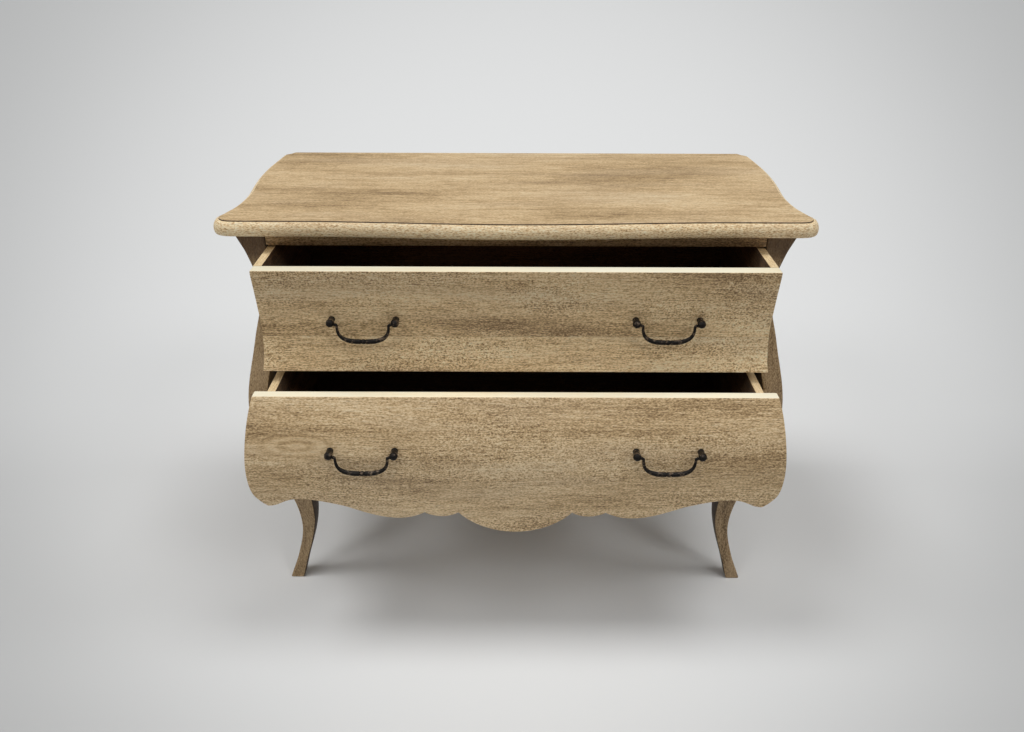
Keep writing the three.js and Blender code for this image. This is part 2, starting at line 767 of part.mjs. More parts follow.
// The bail hangs in its own plane, from pin to pin, along a squared half oval
function bail() {
  const half = postSpacing / 2;
  const elbowX = half - bailInset;
  const reach = elbowX - bailEndRadius;
  const squared = (ratio) => ratio ** (2 / bailSquareness);
  const oval = steps(0, Math.PI / 2, bailSides).slice(1).map((turn) => {
    return [reach * squared(Math.cos(turn)), -bailDrop * squared(Math.sin(turn))];
  });
  oval[oval.length - 1][0] = 0;
  const places = [
    [half - pinHoleStart - seat, 0],
    [elbowX + bailEndRadius, 0],
    [elbowX, -bailEndRadius / 2],
    ...oval,
  ];
  const pinToPin = [...places, ...mirrored(places.slice(0, -1)).reverse()];
  const spots = pinToPin.map(([x, z]) => new THREE.Vector3(x, 0, z));
  const path = new THREE.CatmullRomCurve3(spots, false, 'centripetal');
  const middle = path.getLength() / 2;
  const arm = steps(-middle, -beadHalfLength - bailEndRadius, bailSteps);
  const bead = steps(-beadHalfLength, beadHalfLength, beadSteps);
  const stops = [...arm, ...bead, ...arm.map((along) => -along).reverse()];
  const rings = stops.map((along) => {
    const share = THREE.MathUtils.clamp((along + middle) / (2 * middle), 0, 1);
    const centre = path.getPointAt(share);
    const side = new THREE.Vector3().crossVectors(axisY, path.getTangentAt(share)).normalize();
    const radius = bailRadius(along, middle, Math.abs(centre.x));
    return steps(0, 2 * Math.PI, bailSides).slice(1).map((turn) => centre.clone()
      .addScaledVector(side, radius * Math.cos(turn))
      .addScaledVector(axisY, radius * Math.sin(turn)));
  });
  return skin(rings);
}

// Slender at the ends and fuller towards the bead in the middle
function bailRadius(along, middle, x) {
  if (x > postSpacing / 2 - bailInset) return pinRadius;
  const reached = Math.min(Math.abs(along) / beadHalfLength, 1);
  const bead = bailMiddleRadius + (beadRadius - bailMiddleRadius) * Math.sqrt(1 - reached * reached);
  const share = (middle - Math.abs(along)) / (2 * middle);
  const swell = THREE.MathUtils.smoothstep(share, ...bailSwellShares);
  return reached < 1 ? bead : bailEndRadius + (bailMiddleRadius - bailEndRadius) * swell;
}

// A pan-headed screw from inside the drawer, up to the end of the stem
function handleScrew(thickness) {
  const headY = thickness - bite;
  const profile = [
    new THREE.Vector2(0, stemSink + seat),
    new THREE.Vector2(screwRadius, stemSink + seat),
    new THREE.Vector2(screwRadius, headY + seat),
    new THREE.Vector2(screwHeadRadius, headY + seat),
    new THREE.Vector2(screwHeadRadius, headY + screwHeadThickness / 2),
    new THREE.Vector2(screwHeadRadius / 2, headY + screwHeadThickness),
    new THREE.Vector2(0, headY + screwHeadThickness),
  ];
  return new THREE.LatheGeometry(profile, roundSides);
}

// What a handle's post and screw take out of the front
function handleBore(x, z, thickness) {
  const y = faceY(z);
  return [
    rodAlongY(collarRadius + seat, x, z, y - collarRadius, y + bite),
    rodAlongY(stemRadius + seat, x, z, y, y + stemSink + seat),
    rodAlongY(screwRadius + seat, x, z, y, y + thickness + overrun),
    rodAlongY(screwHeadRadius + seat, x, z, y + thickness - bite, y + thickness + collarRadius),
  ];
}

for (const [level, drawer] of Object.entries(drawers)) {
  const group = new THREE.Group();
  group.position.y = -drawer.open;
  chest.add(group);
  const handleZ = drawer.top - drawer.handleDrop * (drawer.top - drawer.bottom);
  const bores = [];
  for (const [sideName, side] of [['left', -1], ['right', 1]]) {
    for (const [endName, end] of [['left', -1], ['right', 1]]) {
      const x = side * handleX + (end * postSpacing) / 2;
      bores.push(...handleBore(x, handleZ, drawer.thickness));
      const post = add(`${level}_${sideName}_handle_${endName}_post`, ballPost(end > 0), darkIron, group);
      post.position.set(x, faceY(handleZ), handleZ);
      const screwName = `${level}_${sideName}_handle_${endName}_screw`;
      const screw = add(screwName, handleScrew(drawer.thickness), darkIron, group);
      screw.position.copy(post.position);
    }
    const swinging = add(`${level}_${sideName}_bail`, bail(), darkIron, group);
    swinging.position.set(side * handleX, faceY(handleZ) - ballStandoff, handleZ - pinDrop);
  }
  const front = cut(drawerFront(level, drawer), bottomBoardSpace(drawer, seat), ...bores);
  add(`${level}_drawer_front`, front, carcassWood, group);
  const side = boxSide(drawer);
  add(`${level}_drawer_right_side`, side, rawWood, group);
  add(`${level}_drawer_left_side`, reflected(side), rawWood, group);
  add(`${level}_drawer_back`, backBoardSpace(drawer, 0), rawWood, group);
  add(`${level}_drawer_bottom`, bottomBoardSpace(drawer, 0), rawWood, group);
}

// The origin lies on the floor, under the middle of the whole as it stands
chest.updateMatrixWorld(true);
const extent = new THREE.Box3().setFromObject(chest);
chest.position.y = -(extent.min.y + extent.max.y) / 2;

export default chest;
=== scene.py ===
"""A bombe chest with two drawers: sawn and swelling fronts, a scalloped lower edge and iron bail pulls."""
import json
import math

import bmesh
import bpy
import numpy as np
from mathutils import Matrix, Vector

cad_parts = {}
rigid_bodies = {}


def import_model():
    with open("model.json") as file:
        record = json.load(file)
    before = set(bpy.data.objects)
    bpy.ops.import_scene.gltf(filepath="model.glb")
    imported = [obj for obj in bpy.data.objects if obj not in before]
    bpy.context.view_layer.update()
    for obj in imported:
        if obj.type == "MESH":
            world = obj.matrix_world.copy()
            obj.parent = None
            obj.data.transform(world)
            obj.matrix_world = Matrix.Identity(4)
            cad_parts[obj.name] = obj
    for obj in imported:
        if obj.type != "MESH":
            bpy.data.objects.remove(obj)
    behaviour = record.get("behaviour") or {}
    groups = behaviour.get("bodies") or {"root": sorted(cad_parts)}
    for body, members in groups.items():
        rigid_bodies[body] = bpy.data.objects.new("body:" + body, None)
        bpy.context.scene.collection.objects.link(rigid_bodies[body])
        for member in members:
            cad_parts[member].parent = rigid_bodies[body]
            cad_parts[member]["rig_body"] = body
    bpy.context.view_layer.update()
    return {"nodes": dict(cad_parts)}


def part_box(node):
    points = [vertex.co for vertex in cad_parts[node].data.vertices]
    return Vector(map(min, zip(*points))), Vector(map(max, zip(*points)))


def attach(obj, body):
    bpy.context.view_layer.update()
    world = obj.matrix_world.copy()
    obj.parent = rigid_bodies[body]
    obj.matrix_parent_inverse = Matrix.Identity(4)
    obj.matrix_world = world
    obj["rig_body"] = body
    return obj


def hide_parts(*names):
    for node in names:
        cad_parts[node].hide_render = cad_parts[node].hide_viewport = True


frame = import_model()

# The photograph's frame and the camera that sees the chest as it does, in pixels, metres and degrees
PHOTO_WIDTH = 1024
PHOTO_HEIGHT = 732
FOCAL_PIXELS = 917
OPTICAL_AXIS = (516, 278.7)
CAMERA_PLACE = (0, -1.8799, 1.4548)
CAMERA_PITCH = 22
CAMERA_ROLL = 0.19
SENSOR_WIDTH = 36  # millimetres

# The paper it stands on, with a painted pool of light that fades to a darker rim
GLOW_BELOW = 5.45  # degrees under the lens's axis
GLOW_REACH = 0.57  # tangent of the angle at which most of it is gone
GLOW_FALL = 3.9  # how abruptly it goes
PAINTED_GLOW_COLOUR = (239, 240, 240)
PAINTED_RIM_COLOUR = (184, 185, 185)
FLOOR_REACH = 30

# Light from all round, and the grey that is seen past the paper
AMBIENT = 0.1
BACKDROP = 178

# Lamps as (strength, spread, lean to the right, lean to the front), the last three in degrees
LAMPS = {
    "left_lamp": (0.25, 20, -21, 2),
    "right_lamp": (0.22, 22, 16, 2),
    "far_left_lamp": (0.12, 18, -52, 2),
    "far_right_lamp": (0.115, 18, 52, 2),
    "front_left_lamp": (0.1, 16, -42, 42),
    "front_right_lamp": (0.11, 16, 42, 42),
    "front_top_lamp": (0.08, 20, 0, 22),
}

# How finely the pieces are drawn
POST_ROWS = 170
POST_COLUMNS = 4
FRONT_ROWS = 64
LEVEL_EDGE_POINTS = 61
PANEL_ROWS = 96
PANEL_COLUMNS = 44
ARC_STEPS = 14
NOSE_STEPS = 7
LOOP_STEPS = 5
LATHE_SIDES = 32
SCREW_SIDES = 64

# Tolerances
HAIR = 1e-6
SAME_STATION = 2e-5
SAME_LINE = 1e-4
SAME_PLANE = math.radians(0.5)
FACING = 0.5  # least part of a face's normal that counts as looking along a direction

# Softened edges
FACE_EASE = 0.0013
LEG_EASE = 0.0028
BOX_EASE = 0.0008
EASE_SEGMENTS = 3
SHARP_ANGLE = math.radians(40)

# Boards
FRONT_THICKNESS = {"upper": 0.028, "lower": 0.022}
PANEL_THICKNESS = 0.018

# Scalloped lower edge: distances from the middle, rises and drops from the tucked corner
APRON_CORNER = 0.347
CREST_X, CREST_RISE = 0.415, 0.0175
LOBE_X, LOBE_DROP = 0.233, 0.032
OUTER_CUSP_X, INNER_CUSP_X, CUSP_DROP = 0.182, 0.114, 0.0165
SMALL_LOBE_X, SMALL_LOBE_DROP = 0.147, 0.027
CENTRE_DROP = 0.071

# Edge of the top
NOSE_BELOW = 0.011
NOSE_INSET_BELOW = 0.004
NOSE_INSET_ABOVE = 0.011
STEP_HEIGHT = 0.0022
STEP_INSET = 0.001
QUIRK_DEPTH = 0.0007

# Plan of the top
PLAN_SHARP_TURN = 0.6  # radians past which a corner stays sharp
BACK_EDGE_DEPTH = 0.002
BACK_CORNER_WIDTH = 0.02  # where the nose runs out at each back corner

# How far the top's sides lie outside the CAD plan, or inside it where negative, as (y, change)
SIDE_TRIM = (
    (-0.128, 0), (-0.113, -0.006), (-0.073, -0.011), (-0.032, -0.008), (0.012, -0.003), (0.06, 0.002),
    (0.105, 0.003), (0.16, 0.001), (0.22, -0.002), (0.28, -0.004), (0.4, -0.005),
)

# Ball posts
BALL_RADIUS = 0.0084
BALL_STANDOFF = 0.019
BALL_ROWS = 18
BALL_TIP = 0.06  # radians from the tip to the first ring
BALL_FACETS = 7
BALL_FACET_DEPTH = 0.05  # of the ball's radius
STEM_RADIUS = 0.006
NECK_RADIUS = 0.0076
COLLAR_RADIUS = 0.0066
COLLAR_THICKNESS = 0.0024
COLLAR_SLOPE = 1.3  # where its slope meets the stem, in thicknesses from the front
LET_IN = 0.0005

# Screws
SHANK_RADIUS = 0.002
SHANK_TIP_SHARE = 0.6  # of the shank's radius
HEAD_RADIUS = 0.0046
HEAD_THICKNESS = 0.003
DOME_SHARE = 0.7  # of the head's thickness
DOME_SWEEP = 1.45  # radians
DOME_ROWS = 14
SLOT_HALF_WIDTH = 0.0005
SLOT_DEPTH = 0.0012
SLOTTED_SHARE = 0.65  # of the head's thickness

# Bails
PIN_RADIUS = 0.0017
BAIL_SIZES = {
    "Reach": 0.0503, "Drop": 0.036, "Squareness": 3.0, "Pin length": 0.0089, "End radius": 0.0027,
    "Middle radius": 0.0054, "Bead radius": 0.0056, "Bead half length": 0.0034, "Notch width": 0.0014,
    "Collar offset": 0.0028, "Collar radius": 0.0034, "Collar width": 0.0016,
}
BAIL_ARM_SHARE = 0.86  # of the line, whose ends are the pins
BAIL_SWELL_SHARES = (0.05, 0.4)  # of the length, from each end
BAIL_POINTS = 120
BAIL_CORNER_POINTS = 5
NOTCH_AWAY = 1.25  # from the middle, in half lengths of the bead
NOTCH_SHARE = 0.3  # of the bar's radius
BAR_SIDES = 6
BAR_EDGE_POINTS = 2
BAR_EDGE_RADIUS = 0.2  # of the bar's radius

# How much each kind of mark counts in the wood's tone, from the broadest to the finest
PATCH_WEIGHT = 0.75
BAND_WEIGHT = 0.4
STREAK_WEIGHT = 0.38
FIBRE_WEIGHT = 0.66
SPECK_WEIGHT = 1.1
RIPPLE_WEIGHT = 1.1

# Pale haze over the wood, and its darkest colour in pores and seams
HAZE_SHARE = 0.14
PORE_SHARE = 0.42
SEAM_SHARE = 0.3
SEAM_FADE = (0.0002, 0.0012)  # distances from the seam

# The oval of a flat-sawn board
OVAL_SLENDERNESS = 0.3  # width over length
OVAL_FADE = (0.012, 0.04)  # distances from its middle
OVAL_RINGS = 520  # radians a metre
OVAL_WEIGHT = 0.1
OVAL_CALM = 0.5  # how much it quietens finer marks


def linear(red, green, blue):
    """A screen colour of 0 to 255 as the linear colour that a node takes."""
    def curve(level):
        share = level / 255
        return share / 12.92 if share <= 0.04045 else ((share + 0.055) / 1.055) ** 2.4
    return curve(red), curve(green), curve(blue), 1


class Value:
    """A socket in a node tree. Arithmetic on it adds Math nodes."""

    def __init__(self, tree, socket):
        self.tree = tree
        self.socket = socket

    def math(self, operation, *others, clamp=False):
        inputs = dict(enumerate((self, *others)))
        return self.tree.add("ShaderNodeMath", inputs, operation=operation, use_clamp=clamp)

    def __add__(self, other):
        return self.math("ADD", other)

    def __sub__(self, other):
        return self.math("SUBTRACT", other)

    def __mul__(self, other):
        return self.math("MULTIPLY", other)

    def __truediv__(self, other):
        return self.math("DIVIDE", other)

    def __pow__(self, other):
        return self.math("POWER", other)

    def __radd__(self, other):
        return self + other

    def __rmul__(self, other):
        return self * other

    def __neg__(self):
        return self * -1

    def __rsub__(self, other):
        return -self + other

    def __rtruediv__(self, other):
        return self ** -1 * other

    def clamped(self):
        """The value held between 0 and 1."""
        return self.math("ADD", 0, clamp=True)

    def ramp(self, low, high):
        """0 below low, 1 above high and smooth between."""
        inputs = {"Value": self, "From Min": low, "From Max": high}
        return self.tree.add("ShaderNodeMapRange", inputs, interpolation_type="SMOOTHSTEP")


class Tree:
    """A node tree, made by expressions."""

    def __init__(self, tree):
        self.tree = tree

    def add(self, kind, inputs=None, output=0, **settings):
        """A new node's output. Its inputs are plain settings or other nodes' values."""
        made = self.tree.nodes.new(kind)
        for name, value in settings.items():
            setattr(made, name, value)
        for name, value in (inputs or {}).items():
            if isinstance(value, Value):
                self.tree.links.new(value.socket, made.inputs[name])
            else:
                made.inputs[name].default_value = value
        return Value(self, made.outputs[output]) if made.outputs else None

    def colour(self, share, stops):
        """The colour at a share of 0 to 1 between (place, colour) stops."""
        colour = self.add("ShaderNodeValToRGB", {"Fac": share})
        ramp = colour.socket.node.color_ramp
        while len(ramp.elements) < len(stops):
            ramp.elements.new(1)
        for element, (place, paint) in zip(ramp.elements, stops):
            element.position = place
            element.color = paint
        return colour

    def mix(self, first, second, share):
        return self.add("ShaderNodeMix", {0: share, 6: first, 7: second}, 2, data_type="RGBA")

    def place(self):
        return self.add("ShaderNodeTexCoord", output="Object")

    def split(self, vector):
        """A vector's x, y and z."""
        return [self.add("ShaderNodeSeparateXYZ", {0: vector}, axis) for axis in range(3)]

    def vector(self, x, y, z):
        return self.add("ShaderNodeCombineXYZ", {0: x, 1: y, 2: z})

    def noise(self, place, detail, roughness=0.5, distortion=0.0):
        inputs = {"Vector": place, "Scale": 1.0, "Detail": detail, "Roughness": roughness,
                  "Distortion": distortion}
        return self.add("ShaderNodeTexNoise", inputs, "Fac")


def new_material(name):
    """An empty material's tree and the function that closes it with a shader and a bump."""
    material = bpy.data.materials.new(name)
    material.use_nodes = True
    material.node_tree.nodes.clear()
    tree = Tree(material.node_tree)

    def close(inputs, bump=None):
        if bump:
            inputs = {**inputs, "Normal": tree.add("ShaderNodeBump", bump)}
        shader = tree.add("ShaderNodeBsdfPrincipled", inputs)
        tree.add("ShaderNodeOutputMaterial", {"Surface": shader})
        return material
    return tree, close


# Colours of the woods
def palette(dark, brown, tan, pale):
    """Stops of a wood's colours from its deepest grain to its limed highlights."""
    return [(0.12, linear(*dark)), (0.38, linear(*brown)), (0.58, linear(*tan)), (0.88, linear(*pale))]


TOP_TONES = palette((124, 97, 61), (190, 160, 116), (223, 193, 148), (244, 224, 185))
# The nose's colours are paler than the top's: a painted highlight
NOSE_HIGHLIGHT_TONES = palette((136, 102, 64), (230, 195, 146), (255, 233, 190), (255, 248, 222))
FRONT_TONES = palette((118, 92, 58), (188, 157, 113), (225, 195, 150), (250, 228, 189))
UPPER_TONES = palette((132, 102, 63), (214, 180, 131), (248, 217, 168), (255, 240, 202))
POST_TONES = palette((82, 62, 39), (142, 116, 82), (174, 147, 109), (198, 173, 136))
CASE_TONES = palette((108, 82, 52), (174, 141, 98), (212, 178, 130), (236, 208, 164))
RAW_TONES = palette((240, 222, 186), (255, 242, 208), (255, 248, 221), (255, 251, 232))
# Dark colours of the painted shade inside the case and the drawers, and of the painted shadow under the top
INSIDE_SHADE_TONES = palette((44, 29, 14), (82, 56, 30), (112, 80, 48), (146, 110, 70))
SHADED_TONES = palette((26, 17, 9), (48, 33, 19), (64, 47, 29), (84, 64, 42))
EDGE_TONES = palette((184, 154, 110), (222, 194, 148), (240, 214, 170), (252, 234, 196))
SIDE_TONES = palette((172, 146, 106), (208, 184, 142), (224, 202, 162), (238, 218, 180))
BLOCK_TONES = palette((110, 94, 72), (144, 128, 104), (166, 150, 126), (188, 172, 148))
HAZE = linear(172, 152, 130)
# The colour that painted shadows darken towards
SHADOW_TONE = INSIDE_SHADE_TONES[1][1]


def wood(name, tones, along="X", seed=0.0, seams=(), broad=1.0, streak=1.0, fleck=1.0, speck=1.0, ripple=0.0,
         pores=1.0, roughness=0.62, oval=None, shade=None):
    """Open-pored wood with its grain along one axis. Its marks are weighed from broad to speck, ripple is
    its curly figure, and seams are (height, change of tone) pairs. An oval is the middle (run, height) of a
    flat-sawn figure. Shade is a painted shadow: the height from which the wood darkens upwards, the height it
    takes and the share of the shadow's colour it comes to."""
    tree, close = new_material(name)
    parts = tree.split(tree.place())
    order = {"X": (0, 2, 1), "Y": (1, 0, 2), "Z": (2, 0, 1)}[along]
    run, over, deep = (parts[axis] for axis in order)
    run = run + seed

    tone = over * 0 + 0.5
    line = over * 0
    shift = over * 0
    for height, change in seams:
        above = (over - height).math("GREATER_THAN", 0)
        tone = tone + above * change
        shift = shift + above
        gap = (over - height).math("ABSOLUTE")
        line = line + (1 - gap.ramp(*SEAM_FADE))

    sway = tree.noise(tree.vector(run * 1.3 + shift * 5, over * 4, deep * 4), 1.5) - 0.5
    over_wandering = over + sway * 0.05 + shift * 0.37
    deep_wandering = deep + sway * 0.03

    def grained(run_scale, over_scale, deep_scale, detail, rough=0.55, distortion=0.0):
        """Noise with so many changes a metre along the grain, across it and into the wood."""
        spot = tree.vector(run * run_scale, over_wandering * over_scale, deep_wandering * deep_scale)
        return tree.noise(spot, detail, rough, distortion)

    patches = grained(1.6, 9, 7, 2) - 0.5
    bands = grained(2.2, 42, 30, 2, 0.5) - 0.5
    streaks = grained(9, 170, 120, 2, 0.6) - 0.5
    fibres = grained(30, 520, 420, 1, 0.6) - 0.5
    specks = grained(200, 470, 470, 1, 0.6) - 0.5
    figured = grained(3.1, 8, 8, 1).ramp(0.42, 0.6)
    curls = grained(300, 360, 300, 0.5, 0.5, 0.5) - 0.5
    pits = grained(60, 700, 700, 1, 0.5).ramp(0.6, 0.7) * pores
    haze = grained(2.7, 16, 12, 1).ramp(0.45, 0.65)

    tone = tone + patches * (PATCH_WEIGHT * broad)
    tone = tone + bands * (BAND_WEIGHT * streak) + streaks * (STREAK_WEIGHT * streak)
    fine = fibres * (FIBRE_WEIGHT * fleck) + specks * (SPECK_WEIGHT * speck)
    fine = fine + curls * figured * (RIPPLE_WEIGHT * ripple)
    if oval:
        along_oval = (run - seed - oval[0]) * OVAL_SLENDERNESS
        from_oval = (along_oval * along_oval + (over - oval[1]) ** 2).math("SQRT") + sway * 0.02
        inside = 1 - from_oval.ramp(*OVAL_FADE)
        tone = tone + (from_oval * OVAL_RINGS).math("SINE") * inside * OVAL_WEIGHT
        fine = fine * (1 - inside * OVAL_CALM)
    colour = tree.colour((tone + fine).clamped(), tones)
    colour = tree.mix(colour, HAZE, haze * HAZE_SHARE)
    # Painted shadow: darker upwards from its foot
    if shade:
        foot, reach, share = shade
        colour = tree.mix(colour, SHADOW_TONE, (parts[2] - foot).ramp(0, reach) * share)
    darkest = tones[0][1]
    colour = tree.mix(colour, darkest, pits * PORE_SHARE)
    colour = tree.mix(colour, darkest, line * SEAM_SHARE)

    shine = (roughness + streaks * 0.2 + pits * 0.2).clamped()
    height = bands * 0.4 + streaks * 0.5 + fibres * 0.6 + specks * 0.6 - pits * 0.8 - line
    bump = {"Height": height, "Distance": 0.0009, "Strength": 0.55}
    return close({"Base Color": colour, "Roughness": shine}, bump)


top_wood = wood("top_wood", TOP_TONES, broad=1.1, fleck=0.9, speck=0.6)
# The nose, paler than the top with a painted highlight
nose_highlight_wood = wood("top_nose_wood", NOSE_HIGHLIGHT_TONES, seed=3.1, broad=0.4, streak=0.3, fleck=0.7)
# Painted shade in the quirk and on the fine step at the top's edge
step_shade_wood = wood("top_step_glaze", SHADED_TONES, seed=3.1)
# The upper front's upper end darkens with a painted shadow of the top; its darker board above the seam is
# partly its own tone and partly painted shade
upper_wood = wood("upper_front_wood", UPPER_TONES, seed=11.3, seams=[(0.672, -0.07)], streak=0.88, fleck=0.92,
                  speck=0.95, ripple=1.0, shade=(0.7, 0.09, 0.12))
lower_wood = wood("lower_front_wood", FRONT_TONES, seed=5.7, streak=0.9, fleck=0.92, ripple=0.8,
                  oval=(-0.425, 0.487))
# The posts darken upwards under the top with a painted shadow of it
post_wood = wood("post_wood", POST_TONES, along="Z", seed=2.4, fleck=0.9, shade=(0.775, 0.03, 0.75))
# Painted shade on the posts' sides towards the drawers
inner_shade_wood = wood("post_inner_wood", SHADED_TONES, along="Z", seed=2.4)
panel_wood = wood("panel_wood", FRONT_TONES, along="Z", seed=8.8, broad=1.2)
rail_wood = wood("rail_wood", CASE_TONES, seed=1.2)
raw_wood = wood("raw_edge_wood", RAW_TONES, seed=6.2, fleck=0.4, speck=0.3, pores=0.3, roughness=0.7)
raw_side_wood = wood("raw_side_wood", EDGE_TONES, along="Y", seed=4.4, fleck=0.8, speck=0.7, pores=0.5)
side_wood = wood("drawer_side_wood", SIDE_TONES, along="Y", seed=4.4, fleck=0.7, speck=0.5)
# Painted shade: the faces inside the case and the drawers are painted dark where shade falls
inside_shade_wood = wood("stained_inside_wood", INSIDE_SHADE_TONES, seed=9.1, roughness=0.75)
inside_side_shade_wood = wood("stained_side_wood", INSIDE_SHADE_TONES, along="Y", seed=7.7, roughness=0.75)
block_wood = wood("block_wood", BLOCK_TONES, along="Y", seed=3.3, roughness=0.75)
back_wood = wood("back_wood", BLOCK_TONES, seed=12.9, roughness=0.8)


def iron(name):
    """Blackened iron, lightly hammered, with paler patches that are partly wear and partly a painted
    highlight.
    """
    tree, close = new_material(name)
    place = tree.place()

    def spotted(scale, detail):
        inputs = {"Vector": place, "Scale": scale}
        return tree.noise(tree.add("ShaderNodeVectorMath", inputs, operation="SCALE"), detail)
    hammered = spotted(210, 1.0)
    grime = spotted(520, 3.0)
    # Paler patches by noise: partly wear and partly a painted highlight; worn is their pale colour
    wear_and_highlight = (spotted(95, 2.0) * 0.6 + hammered * 0.4).ramp(0.5, 0.66)
    black, worn = linear(20, 16, 13), linear(122, 104, 86)
    colour = tree.mix(black, worn, wear_and_highlight * 0.6)
    shine = 0.44 - wear_and_highlight * 0.16 + grime * 0.1
    inputs = {"Base Color": colour, "Roughness": shine, "Metallic": 0.4, "Specular IOR Level": 0.25}
    return close(inputs, {"Height": hammered * 0.8 + grime * 0.2, "Distance": 0.0016, "Strength": 0.8})


dark_iron = iron("dark_iron")


# Measuring the CAD pieces
def corners(node):
    """A CAD piece's points, and its triangles as rows of point numbers."""
    mesh = frame["nodes"][node].data
    points = np.array([v.co for v in mesh.vertices])
    return points, np.array([p.vertices for p in mesh.polygons])


def crossings(points, faces, height):
    """Where the edges of the faces pass a height."""
    found = []
    for i, j in ((0, 1), (1, 2), (2, 0)):
        start, end = points[faces[:, i]], points[faces[:, j]]
        below, above = start[:, 2] - height, end[:, 2] - height
        hit = (below <= 0) != (above <= 0)
        share = (below[hit] / (below[hit] - above[hit]))[:, None]
        found.append(start[hit] + (end[hit] - start[hit]) * share)
    return np.concatenate(found)


def stations(node):
    """Heights of the corners in a sawn CAD piece's outline, and its (least x, greatest x, front y, back y)
    at each. Heights where only a mortise or a groove has corners are passed over."""
    points, faces = corners(node)
    low, high = points[:, 2].min(), points[:, 2].max()
    heights, sizes = [], []
    for z in np.unique(points[:, 2].round(5)):
        cut = crossings(points, faces, min(max(z, low + HAIR), high - HAIR))
        here = points[abs(points[:, 2] - z) < SAME_STATION]
        if abs(abs(here[:, 0]).max() - abs(cut[:, 0]).max()) < SAME_LINE:
            heights.append(z)
            sizes.append((cut[:, 0].min(), cut[:, 0].max(), cut[:, 1].min(), cut[:, 1].max()))
    return np.array(heights), np.array(sizes)


def smooth_curve(places, values):
    """A smooth curve through stations, as a function of place. Values may be numbers or rows of them."""
    places, values = np.asarray(places, float), np.asarray(values, float)
    last = len(places) - 1

    def slope(i):
        before, after = max(i - 1, 0), min(i + 1, last)
        return (values[after] - values[before]) / (places[after] - places[before])

    def at(place):
        place = min(max(place, places[0]), places[last])
        i = min(max(int(np.searchsorted(places, place, side="right")) - 1, 0), last - 1)
        span = places[i + 1] - places[i]
        t = (place - places[i]) / span
        rise = values[i + 1] - values[i]
        pull = (1 - t) * (slope(i) * span - rise) - t * (slope(i + 1) * span - rise)
        return values[i] + rise * t + t * (1 - t) * pull
    return at


# Making and placing meshes
def new_mesh(points, faces, skins, slots):
    """A mesh with a material for each face, its faces turned to point out."""
    mesh = bpy.data.meshes.new("piece")
    mesh.from_pydata([tuple(p) for p in points], [], [tuple(int(i) for i in f) for f in faces])
    for skin in skins:
        mesh.materials.append(skin)
    mesh.polygons.foreach_set("material_index", slots)
    shape = bmesh.new()
    shape.from_mesh(mesh)
    bmesh.ops.recalc_face_normals(shape, faces=shape.faces)
    shape.to_mesh(mesh)
    shape.free()
    return mesh


def board(front, back, skins):
    """A closed mesh between two grids of points. Skins are the materials of its front, back, top, bottom,
    first end and last end."""
    front, back = np.asarray(front), np.asarray(back)
    rows, columns = front.shape[:2]
    count = rows * columns
    number = np.arange(count).reshape(rows, columns)
    faces, slots = [], []

    def wall(first, second, slot):
        for i in range(len(first) - 1):
            faces.append((first[i], first[i + 1], second[i + 1], second[i]))
            slots.append(slot)
    for row in range(rows - 1):
        wall(number[row], number[row + 1], 0)
        wall(number[row + 1] + count, number[row] + count, 1)
    wall(number[-1], number[-1] + count, 2)
    wall(number[0] + count, number[0], 3)
    wall(number[:, 0], number[:, 0] + count, 4)
    wall(number[:, -1] + count, number[:, -1], 5)
    points = np.concatenate([front.reshape(-1, 3), back.reshape(-1, 3)])
    return new_mesh(points, faces, skins, slots)


def ring_faces(rows, count):
    """The faces of a stack of rings with count points each: round it, then its first and last ends."""
    faces = []
    for row in range(rows - 1):
        low, high = row * count, (row + 1) * count
        for i in range(count):
            j = (i + 1) % count
            faces.append((low + i, low + j, high + j, high + i))
    return faces + [tuple(range(count))[::-1], tuple(range((rows - 1) * count, rows * count))]


def new_object(name, data):
    """A new object, linked to the scene."""
    made = bpy.data.objects.new(name, data)
    bpy.context.scene.collection.objects.link(made)
    return made


def apply_modifiers(piece):
    """Turns a piece with its modifiers into plain mesh."""
    graph = bpy.context.evaluated_depsgraph_get()
    mesh = bpy.data.meshes.new_from_object(piece.evaluated_get(graph))
    piece.modifiers.clear()
    piece.data = mesh


def finish_piece(piece, node):
    """Shades a piece smooth and has it ride on its body in place of its CAD node."""
    piece.data.shade_smooth()
    piece.data.set_sharp_from_angle(angle=SHARP_ANGLE)
    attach(piece, frame["nodes"][node]["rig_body"])
    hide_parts(node)


def place_piece(name, mesh, node, ease=0.0):
    """A finished piece in place of its CAD node, its edges eased by so much."""
    piece = new_object(name, mesh)
    if ease:
        rounding = piece.modifiers.new("ease", "BEVEL")
        rounding.width = ease
        rounding.segments = EASE_SEGMENTS
        rounding.limit_method = "ANGLE"
        rounding.angle_limit = SHARP_ANGLE
        apply_modifiers(piece)
    finish_piece(piece, node)


# Posts and legs
def sawn_post(node):
    """A post with its leg, sawn to its front and side outlines. Its side towards the drawers is painted dark
    with shade.
    """
    heights, sizes = stations(node)
    at = smooth_curve(heights, sizes)
    front, back = [], []
    for z in np.linspace(heights[0], heights[-1], POST_ROWS):
        least_x, greatest_x, front_y, back_y = at(z)
        across = np.linspace(least_x, greatest_x, POST_COLUMNS + 1)
        front.append([(x, front_y, z) for x in across])
        back.append([(x, back_y, z) for x in across])
    stands_left = sizes[-1, 0] + sizes[-1, 1] < 0
    ends = [post_wood, inner_shade_wood] if stands_left else [inner_shade_wood, post_wood]
    mesh = board(front, back, [post_wood] * 4 + ends)
    place_piece(f"{node}_sawn", mesh, node, LEG_EASE)


